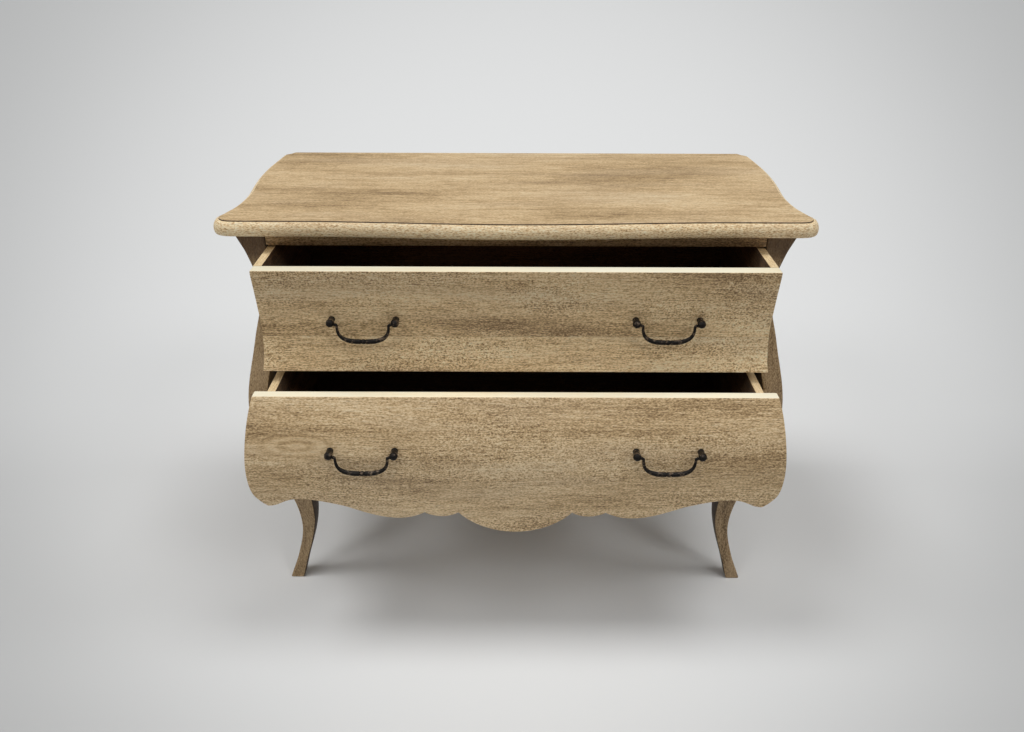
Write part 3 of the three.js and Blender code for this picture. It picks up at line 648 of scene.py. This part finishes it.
# Drawer fronts
def scallop_points(half):
    """Half the lower edge, from the tucked corner at half to the middle, as (x, z)."""
    base = APRON_CORNER

    def wave(start, end):
        """From start to end, level at both."""
        rises = [(1 - math.cos(math.pi * t)) / 2 for t in np.linspace(0, 1, 2 * ARC_STEPS + 1)[1:]]
        places = np.linspace(start[0], end[0], 2 * ARC_STEPS + 1)[1:]
        return [(x, start[1] + (end[1] - start[1]) * rise) for x, rise in zip(places, rises)]

    def lobe_arc(lowest, cusp):
        """An arc of a circle from a lobe's lowest point, where it is level, up to a cusp."""
        width = cusp[0] - lowest[0]
        sweep = 2 * math.atan2(cusp[1] - lowest[1], abs(width))
        radius = width / math.sin(sweep)
        return [(lowest[0] + radius * math.sin(turn), lowest[1] + abs(radius) * (1 - math.cos(turn)))
                for turn in np.linspace(0, sweep, ARC_STEPS + 1)]
    crest, lobe = (CREST_X, base + CREST_RISE), (LOBE_X, base - LOBE_DROP)
    outer, inner = (OUTER_CUSP_X, base - CUSP_DROP), (INNER_CUSP_X, base - CUSP_DROP)
    small, middle = (SMALL_LOBE_X, base - SMALL_LOBE_DROP), (0, base - CENTRE_DROP)
    return [(half, base), *wave((half, base), crest), *wave(crest, lobe), *lobe_arc(lobe, outer)[1:],
            *lobe_arc(small, outer)[-2::-1], *lobe_arc(small, inner)[1:], *lobe_arc(middle, inner)[-2::-1]]


def front_board(level, edge, skin):
    """A drawer front over its lower edge, which is (x, z) points from end to end."""
    node = f"{level}_drawer_front"
    heights, sizes = stations(node)
    rim, corner = edge[-1]
    above = heights > corner + HAIR
    half_width = smooth_curve([corner, *heights[above]], [rim, *sizes[above, 1]])
    face = smooth_curve(heights, sizes[:, 2])
    front, back = [], []
    for t in np.linspace(0, 1, FRONT_ROWS):
        row = []
        for x, foot in edge:
            z = foot + (heights[-1] - foot) * t
            row.append((x * half_width(z) / rim, face(z), z))
        front.append(row)
        back.append([(x, y + FRONT_THICKNESS[level], z) for x, y, z in row])
    # Its back face, inside the drawer, is painted dark with shade
    mesh = board(front, back, [skin, inside_shade_wood, raw_wood] + [skin] * 3)
    place_piece(f"{level}_front_sawn", mesh, node, FACE_EASE)


def drawer_fronts():
    """The upper front over a level edge and the lower front over the scalloped edge."""
    heights, sizes = stations("upper_drawer_front")
    half = sizes[0, 1]
    level_edge = [(x, heights[0]) for x in np.linspace(-half, half, LEVEL_EDGE_POINTS)]
    front_board("upper", level_edge, upper_wood)
    points, _ = corners("lower_drawer_front")
    half = points[abs(points[:, 2] - APRON_CORNER) < SAME_LINE, 0].max()
    right = scallop_points(half)[::-1]
    scalloped_edge = [(-x, z) for x, z in right[:0:-1]] + right
    front_board("lower", scalloped_edge, lower_wood)


# Side panels
def side_panel(node):
    """A swelling side over its arched foot, smooth through the CAD piece's corners at each depth."""
    points, _ = corners(node)
    side = math.copysign(1, points[:, 0].mean())
    top = points[:, 2].max()
    depths = np.unique(points[:, 1].round(5))
    feet, swells = [], []
    for y in depths:
        outer = {}
        for x, _, z in points[abs(points[:, 1] - y) < SAME_STATION]:
            height = round(float(z), 4)
            outer[height] = max(outer.get(height, 0), abs(x))
        heights = sorted(outer)
        feet.append(heights[0])
        swells.append(smooth_curve(heights, [outer[z] for z in heights]))
    foot = smooth_curve(depths, feet)
    front, back = [], []
    for t in np.linspace(0, 1, PANEL_ROWS):
        row_out, row_in = [], []
        for y in np.linspace(depths[0], depths[-1], PANEL_COLUMNS):
            z = foot(y) + (top - foot(y)) * t
            reach = smooth_curve(depths, [swell(z) for swell in swells])(y)
            row_out.append((side * reach, y, z))
            row_in.append((side * (reach - PANEL_THICKNESS), y, z))
        front.append(row_out)
        back.append(row_in)
    # Its inner face, inside the case, is painted dark with shade
    mesh = board(front, back, [panel_wood, inside_side_shade_wood] + [panel_wood] * 4)
    place_piece(f"{node}_swelling", mesh, node, FACE_EASE)


# The top
def end_slope(run, neighbour):
    """How a stretch of a loop heads where it meets its neighbour: straight on if that corner is sharp."""
    turn = math.atan2(neighbour[1], neighbour[0]) - math.atan2(run[1], run[0])
    if abs((turn + math.pi) % (2 * math.pi) - math.pi) > PLAN_SHARP_TURN:
        return run
    length = np.linalg.norm(run)
    return (run + neighbour) * length / (length + np.linalg.norm(neighbour))


def smooth_loop(points):
    """A closed loop with more points between its own, smooth but for its sharp corners."""
    made = []
    count = len(points)
    for i in range(count):
        before, start, end, after = (points[(i + k) % count] for k in (-1, 0, 1, 2))
        run = end - start
        first, last = end_slope(run, start - before), end_slope(run, after - end)
        for t in np.arange(LOOP_STEPS) / LOOP_STEPS:
            pull = (1 - t) * (first - run) - t * (last - run)
            made.append(start + run * t + t * (1 - t) * pull)
    return np.array(made)


def top_plan(points):
    """The top's outline where its nose is fullest, as (x, y) points anticlockwise."""
    level = points[abs(points[:, 2] - points[:, 2].min() - NOSE_BELOW) < SAME_LINE][:, :2]
    level = np.unique(level.round(6), axis=0)
    angles = np.arctan2(level[:, 1] - level[:, 1].mean(), level[:, 0])
    plan = smooth_loop(level[np.argsort(angles)])
    half = plan[:, 0].max()
    trim = smooth_curve(*zip(*SIDE_TRIM))
    plan[:, 0] *= [1 + trim(y) / half for y in plan[:, 1]]
    return plan


def facing_out(plan):
    """Which way is out at each point of the plan. The back edge has no nose: there it is sideways near the
    corners and nowhere between them."""
    run = np.roll(plan, -1, axis=0) - np.roll(plan, 1, axis=0)
    run /= np.linalg.norm(run, axis=1)[:, None]
    outward = np.stack([run[:, 1], -run[:, 0]], axis=1)
    is_back = plan[:, 1] > plan[:, 1].max() - BACK_EDGE_DEPTH
    outward[is_back] = np.stack([np.sign(plan[is_back, 0]), np.zeros(is_back.sum())], axis=1)
    outward[is_back & (abs(plan[:, 0]) < plan[is_back, 0].max() - BACK_CORNER_WIDTH)] = 0
    return outward


def nose_profile(thickness):
    """The top's edge from below upwards, as (inset, rise): the nose, a quirk and a fine step."""
    shoulder = thickness - STEP_HEIGHT
    step_inset = NOSE_INSET_ABOVE + STEP_INSET
    profile = []
    for turn in np.linspace(-math.pi / 2, 0, NOSE_STEPS):
        profile.append((NOSE_INSET_BELOW * (1 - math.cos(turn)), NOSE_BELOW * (1 + math.sin(turn))))
    for turn in np.linspace(0, math.pi / 2, 2 * NOSE_STEPS)[1:]:
        rise = NOSE_BELOW + (shoulder - NOSE_BELOW) * math.sin(turn)
        profile.append((NOSE_INSET_ABOVE * (1 - math.cos(turn)), rise))
    return profile + [(NOSE_INSET_ABOVE + STEP_INSET / 2, shoulder - QUIRK_DEPTH), (step_inset, shoulder),
                      (step_inset, thickness - QUIRK_DEPTH), (step_inset + QUIRK_DEPTH, thickness)]


def top_slab():
    """The top: rings of its plan, drawn in by the profile of its edge."""
    points, _ = corners("top_slab")
    low, high = points[:, 2].min(), points[:, 2].max()
    plan = top_plan(points)
    outward = facing_out(plan)
    count = len(plan)
    rings = [np.column_stack([plan - outward * inset, np.full(count, low + rise)])
             for inset, rise in nose_profile(high - low)]
    step_rows = 2
    nose_rows = len(rings) - 1 - step_rows
    # The fine step and its quirk take the painted shade
    slots = [1] * nose_rows * count + [2] * step_rows * count + [1, 0]
    skins = [top_wood, nose_highlight_wood, step_shade_wood]
    mesh = new_mesh(np.concatenate(rings), ring_faces(len(rings), count), skins, slots)
    place_piece("top_slab_nosed", mesh, "top_slab")


# The plain boards, with eased edges
def eased(node, skin_of):
    """The CAD piece with soft edges. skin_of gives each face's material from its normal."""
    shape = bmesh.new()
    shape.from_mesh(frame["nodes"][node].data)
    bmesh.ops.remove_doubles(shape, verts=shape.verts, dist=HAIR)
    bmesh.ops.dissolve_limit(shape, angle_limit=SAME_PLANE, verts=shape.verts, edges=shape.edges)
    skins = []
    for face in shape.faces:
        skin = skin_of(face.normal)
        if skin not in skins:
            skins.append(skin)
        face.material_index = skins.index(skin)
    mesh = bpy.data.meshes.new("piece")
    shape.to_mesh(mesh)
    shape.free()
    for skin in skins:
        mesh.materials.append(skin)
    place_piece(f"{node}_eased", mesh, node, BOX_EASE)


def facing(direction, toward, other):
    """A choice of material: toward for faces that look along a direction, other for the rest."""
    return lambda normal: toward if normal.dot(Vector(direction)) > FACING else other


def plain_boards():
    """Rails, back, kickers, blocks, runners and stops, then the drawers' sides, backs and bottoms."""
    for node in frame["nodes"]:
        if node.endswith("rail"):
            eased(node, lambda normal: rail_wood)
        elif node == "back_panel":
            # The back's face towards the inside of the case is painted dark with shade
            eased(node, facing((0, -1, 0), inside_shade_wood, back_wood))
        elif node.endswith(("kicker", "block", "runner", "stop")):
            eased(node, lambda normal: block_wood)
    for level in ("upper", "lower"):
        for name, inward in (("left", 1), ("right", -1)):
            # The sides' faces towards the inside of the drawer are painted dark with shade
            walls = facing((inward, 0, 0), inside_side_shade_wood, side_wood)

            def side_skin(normal, walls=walls):
                return raw_side_wood if normal.z > FACING else walls(normal)
            eased(f"{level}_drawer_{name}_side", side_skin)
        # The drawer's back and bottom are painted dark with shade on their inside faces
        eased(f"{level}_drawer_back", facing((0, -1, 0), inside_shade_wood, raw_wood))
        eased(f"{level}_drawer_bottom", facing((0, 0, 1), inside_shade_wood, block_wood))


# The pulls
def lathe(profile, sides, centre, facet_rows=0):
    """Points of a profile of (radius, y) turned about the Y axis through centre (x, y, z). The first
    facet_rows of them have worn flats."""
    points = []
    for k, (radius, y) in enumerate(profile):
        for turn in np.linspace(0, 2 * math.pi, sides, endpoint=False):
            flat = BALL_FACET_DEPTH * (1 - math.cos(BALL_FACETS * turn)) / 2 if k < facet_rows else 0
            reach = radius * (1 - flat)
            across, up = reach * math.cos(turn), reach * math.sin(turn)
            points.append((centre[0] + across, centre[1] + y, centre[2] + up))
    return points


def place_turned(name, points, sides, node):
    """A turned piece of iron from its points, with so many sides."""
    faces = ring_faces(len(points) // sides, sides)
    place_piece(name, new_mesh(points, faces, [dark_iron], [0] * len(faces)), node)


def ball_post(node):
    """A turned post: collar, neck and a ball with worn flats."""
    low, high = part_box(node)
    centre = ((low.x + high.x) / 2, low.y + BALL_STANDOFF + BALL_RADIUS, (low.z + high.z) / 2)
    neck_turn = math.pi - math.asin(NECK_RADIUS / BALL_RADIUS)
    ball = [(BALL_RADIUS * math.sin(turn), -BALL_STANDOFF - BALL_RADIUS * math.cos(turn))
            for turn in np.linspace(BALL_TIP, neck_turn, BALL_ROWS)]
    collar = [(STEM_RADIUS, -COLLAR_THICKNESS * COLLAR_SLOPE), (COLLAR_RADIUS, -COLLAR_THICKNESS),
              (COLLAR_RADIUS, LET_IN)]
    points = lathe(ball + collar, LATHE_SIDES, centre, len(ball))
    place_turned(f"{node}_turned", points, LATHE_SIDES, node)


def screw(node):
    """A pan-headed screw: its slotted head lies inside the drawer, its shank runs forward to the post."""
    low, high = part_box(node)
    centre = ((low.x + high.x) / 2, high.y, (low.z + high.z) / 2)
    tip = low.y - high.y
    shank = [(SHANK_RADIUS * SHANK_TIP_SHARE, tip), (SHANK_RADIUS, tip + SHANK_RADIUS / 2),
             (SHANK_RADIUS, -HEAD_THICKNESS)]
    dome = [(HEAD_RADIUS * math.cos(turn), -HEAD_THICKNESS * DOME_SHARE * (1 - math.sin(turn)))
            for turn in np.linspace(0, DOME_SWEEP, DOME_ROWS)]
    points = []
    for x, y, z in lathe([*shank, (HEAD_RADIUS, -HEAD_THICKNESS), *dome], SCREW_SIDES, centre):
        in_slot = abs(z - centre[2]) < SLOT_HALF_WIDTH and y > centre[1] - HEAD_THICKNESS * SLOTTED_SHARE
        points.append((x, centre[1] - SLOT_DEPTH if in_slot else y, z))
    place_turned(f"{node}_slotted", points, SCREW_SIDES, node)


def bail_group():
    """Geometry nodes that sweep a ridged bar from pin to pin: slender at its ends, fuller towards the middle,
    with a bead between two notches there and a collar on each pin."""
    group = bpy.data.node_groups.new("swept_bail", "GeometryNodeTree")
    kinds = {"Geometry": "Geometry", **{name: "Float" for name in BAIL_SIZES}, "Place": "Vector",
             "Material": "Material"}
    keys = {}
    for name, kind in kinds.items():
        socket = group.interface.new_socket(name, in_out="INPUT", socket_type=f"NodeSocket{kind}")
        keys[name] = socket.identifier
    group.interface.new_socket("Geometry", in_out="OUTPUT", socket_type="NodeSocketGeometry")
    tree = Tree(group)
    given = group.nodes.new("NodeGroupInput")
    size = {name: Value(tree, given.outputs[name]) for name in kinds}

    # A straight line of points is bent into a squared half oval with a pin at each end
    line = tree.add("GeometryNodeCurvePrimitiveLine")
    line = tree.add("GeometryNodeResampleCurve", {"Curve": line, "Count": BAIL_POINTS})
    from_middle = (tree.add("GeometryNodeSplineParameter", output="Factor") - 0.5) * 2
    share = from_middle.math("ABSOLUTE")
    on_pin = ((share - BAIL_ARM_SHARE) / (1 - BAIL_ARM_SHARE)).math("MAXIMUM", 0)
    turn = (share / BAIL_ARM_SHARE).math("MINIMUM", 1) * (math.pi / 2)
    power = 2 / size["Squareness"]
    out = turn.math("SINE") ** power * size["Reach"] + on_pin * size["Pin length"]
    down = turn.math("COSINE").math("MAXIMUM", 0) ** power * size["Drop"]
    spot = tree.vector(from_middle.math("SIGN") * out, 0, -down)
    bent = tree.add("GeometryNodeSetPosition", {"Geometry": line, "Position": spot})
    rounding = {"Curve": bent, "Count": BAIL_CORNER_POINTS, "Radius": size["End radius"],
                "Limit Radius": True}
    bent = tree.add("GeometryNodeFilletCurve", rounding, mode="POLY")
    bent = tree.add("GeometryNodeResampleCurve", {"Curve": bent, "Count": 2 * BAIL_POINTS})

    # The bar's radius along it, from the distance to its middle
    length = tree.add("GeometryNodeCurveLength", {"Curve": bent})
    away = (tree.add("GeometryNodeSplineParameter", output="Length") - length / 2).math("ABSOLUTE")
    swell = ((length / 2 - away) / length).ramp(*BAIL_SWELL_SHARES)
    radius = size["End radius"] + (size["Middle radius"] - size["End radius"]) * swell
    reached = (away / size["Bead half length"]).math("MINIMUM", 1)
    bead = size["Bead radius"] * (1 - reached * reached).math("SQRT")
    from_notch = (away - size["Bead half length"] * NOTCH_AWAY) / size["Notch width"]
    notch = 1 - from_notch.math("ABSOLUTE").math("MINIMUM", 1)
    radius = (radius * (1 - notch * NOTCH_SHARE)).math("MAXIMUM", bead)
    bar = tree.add("GeometryNodeCurvePrimitiveCircle", {"Resolution": BAR_SIDES, "Radius": 1.0})
    bar = tree.add("GeometryNodeTransform", {"Geometry": bar, "Rotation": (0, 0, math.pi / BAR_SIDES)})
    rounding = {"Curve": bar, "Count": BAR_EDGE_POINTS, "Radius": BAR_EDGE_RADIUS}
    bar = tree.add("GeometryNodeFilletCurve", rounding, mode="POLY")
    sweep = {"Curve": bent, "Profile Curve": bar, "Scale": radius, "Fill Caps": True}
    bail = tree.add("GeometryNodeCurveToMesh", sweep)

    # A collar on each pin, beside the ball
    aside = size["Reach"] + size["Collar offset"]
    start, step = tree.vector(aside, 0, 0), tree.vector(aside * -2, 0, 0)
    spots = tree.add("GeometryNodeMeshLine", {"Count": 2, "Start Location": start, "Offset": step})
    ring = {"Vertices": LATHE_SIDES, "Radius": size["Collar radius"], "Depth": size["Collar width"]}
    ring = tree.add("GeometryNodeMeshCylinder", ring)
    ring = tree.add("GeometryNodeTransform", {"Geometry": ring, "Rotation": (0, math.pi / 2, 0)})
    rings = tree.add("GeometryNodeInstanceOnPoints", {"Points": spots, "Instance": ring})
    pull = tree.add("GeometryNodeJoinGeometry", {"Geometry": bail})
    group.links.new(rings.socket, pull.socket.node.inputs["Geometry"])
    pull = tree.add("GeometryNodeRealizeInstances", {"Geometry": pull})
    pull = tree.add("GeometryNodeTransform", {"Geometry": pull, "Translation": size["Place"]})
    pull = tree.add("GeometryNodeSetMaterial", {"Geometry": pull, "Material": size["Material"]})
    tree.add("NodeGroupOutput", {"Geometry": pull})
    return group, keys


def bails():
    """The four bails, made by the same nodes."""
    group, keys = bail_group()
    for level in ("upper", "lower"):
        for side in ("left", "right"):
            node = f"{level}_{side}_bail"
            name = f"{node}_swept"
            piece = new_object(name, bpy.data.meshes.new(name))
            sweep = piece.modifiers.new("sweep", "NODES")
            sweep.node_group = group
            low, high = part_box(node)
            place = ((low.x + high.x) / 2, (low.y + high.y) / 2, high.z - PIN_RADIUS)
            for key, value in {**BAIL_SIZES, "Place": place, "Material": dark_iron}.items():
                sweep[keys[key]] = value
            apply_modifiers(piece)
            finish_piece(piece, node)


def pulls():
    """Ball posts, screws and bails."""
    for node in frame["nodes"]:
        if node.endswith("_screw"):
            screw(node)
        elif "handle" in node:
            ball_post(node)
    bails()


# Camera, floor, lamps and world
def add_camera():
    """The camera that took the photograph, with the lens shifted to its optical axis."""
    lens = bpy.data.cameras.new("camera")
    lens.sensor_width = SENSOR_WIDTH
    lens.lens = SENSOR_WIDTH * FOCAL_PIXELS / PHOTO_WIDTH
    lens.shift_x = (PHOTO_WIDTH / 2 - OPTICAL_AXIS[0]) / PHOTO_WIDTH
    lens.shift_y = (OPTICAL_AXIS[1] - PHOTO_HEIGHT / 2) / PHOTO_WIDTH
    camera = new_object("camera", lens)
    turn = Matrix.Rotation(math.radians(90 - CAMERA_PITCH), 4, "X")
    roll = Matrix.Rotation(math.radians(CAMERA_ROLL), 4, "Z")
    camera.matrix_world = Matrix.Translation(CAMERA_PLACE) @ turn @ roll
    bpy.context.scene.camera = camera


def floor_paper():
    """Pale paper with a painted pool of light that fades with the angle from its middle, as the camera sees
    it.
    """
    tree, close = new_material("floor_paper")
    x, y, _ = tree.split(tree.place())
    pitch = math.radians(CAMERA_PITCH)
    far = (y - CAMERA_PLACE[1]) * math.cos(pitch) + CAMERA_PLACE[2] * math.sin(pitch)
    low = CAMERA_PLACE[2] * math.cos(pitch) - (y - CAMERA_PLACE[1]) * math.sin(pitch)
    aside = x / far
    below = low / far - math.radians(GLOW_BELOW)
    off = (aside * aside + below * below).math("SQRT")
    # Painted pool of light: paler in the middle, darker towards the rim
    rim = 1 - (-(off.math("MINIMUM", 1) / GLOW_REACH) ** GLOW_FALL).math("EXPONENT")
    colour = tree.mix(linear(*PAINTED_GLOW_COLOUR), linear(*PAINTED_RIM_COLOUR), rim)
    return close({"Base Color": colour, "Roughness": 0.95, "Specular IOR Level": 0.1})


def add_floor():
    """A wide sheet of the paper."""
    mesh = bpy.data.meshes.new("floor")
    signs = ((-1, -1), (1, -1), (1, 1), (-1, 1))
    mesh.from_pydata([(x * FLOOR_REACH, y * FLOOR_REACH, 0) for x, y in signs], [], [(0, 1, 2, 3)])
    mesh.materials.append(floor_paper())
    new_object("floor", mesh)


def add_lamp(name, strength, spread, across, forward):
    """A lamp far off, leaning by degrees to the right (across) and to the front (forward)."""
    lamp = bpy.data.lights.new(name, "SUN")
    lamp.energy = strength * math.pi
    lamp.angle = math.radians(spread)
    direction = Vector((math.tan(math.radians(across)), -math.tan(math.radians(forward)), 1))
    new_object(name, lamp).rotation_euler = direction.to_track_quat("Z", "Y").to_euler()


def add_world():
    """Dim light from all round. The camera, and rays that are mirrored or pass through, see the backdrop."""
    world = bpy.data.worlds.new("studio")
    bpy.context.scene.world = world
    world.use_nodes = True
    world.node_tree.nodes.clear()
    tree = Tree(world.node_tree)
    camera, glossy, through = (tree.add("ShaderNodeLightPath", output=name)
                               for name in ("Is Camera Ray", "Is Glossy Ray", "Is Transmission Ray"))
    seen = (camera + glossy + through).math("MINIMUM", 1)
    colour = tree.mix((AMBIENT, AMBIENT, AMBIENT, 1), linear(BACKDROP, BACKDROP, BACKDROP), seen)
    shader = tree.add("ShaderNodeBackground", {"Color": colour, "Strength": 1.0})
    tree.add("ShaderNodeOutputWorld", {"Surface": shader})


add_camera()
for side_name in ("left", "right"):
    for end_name in ("front", "back"):
        sawn_post(f"{side_name}_{end_name}_post")
    side_panel(f"{side_name}_side_panel")
top_slab()
drawer_fronts()
plain_boards()
pulls()
add_floor()
add_world()
for lamp_name, lamp_settings in LAMPS.items():
    add_lamp(lamp_name, *lamp_settings)
bpy.context.scene.view_settings.view_transform = "Standard"
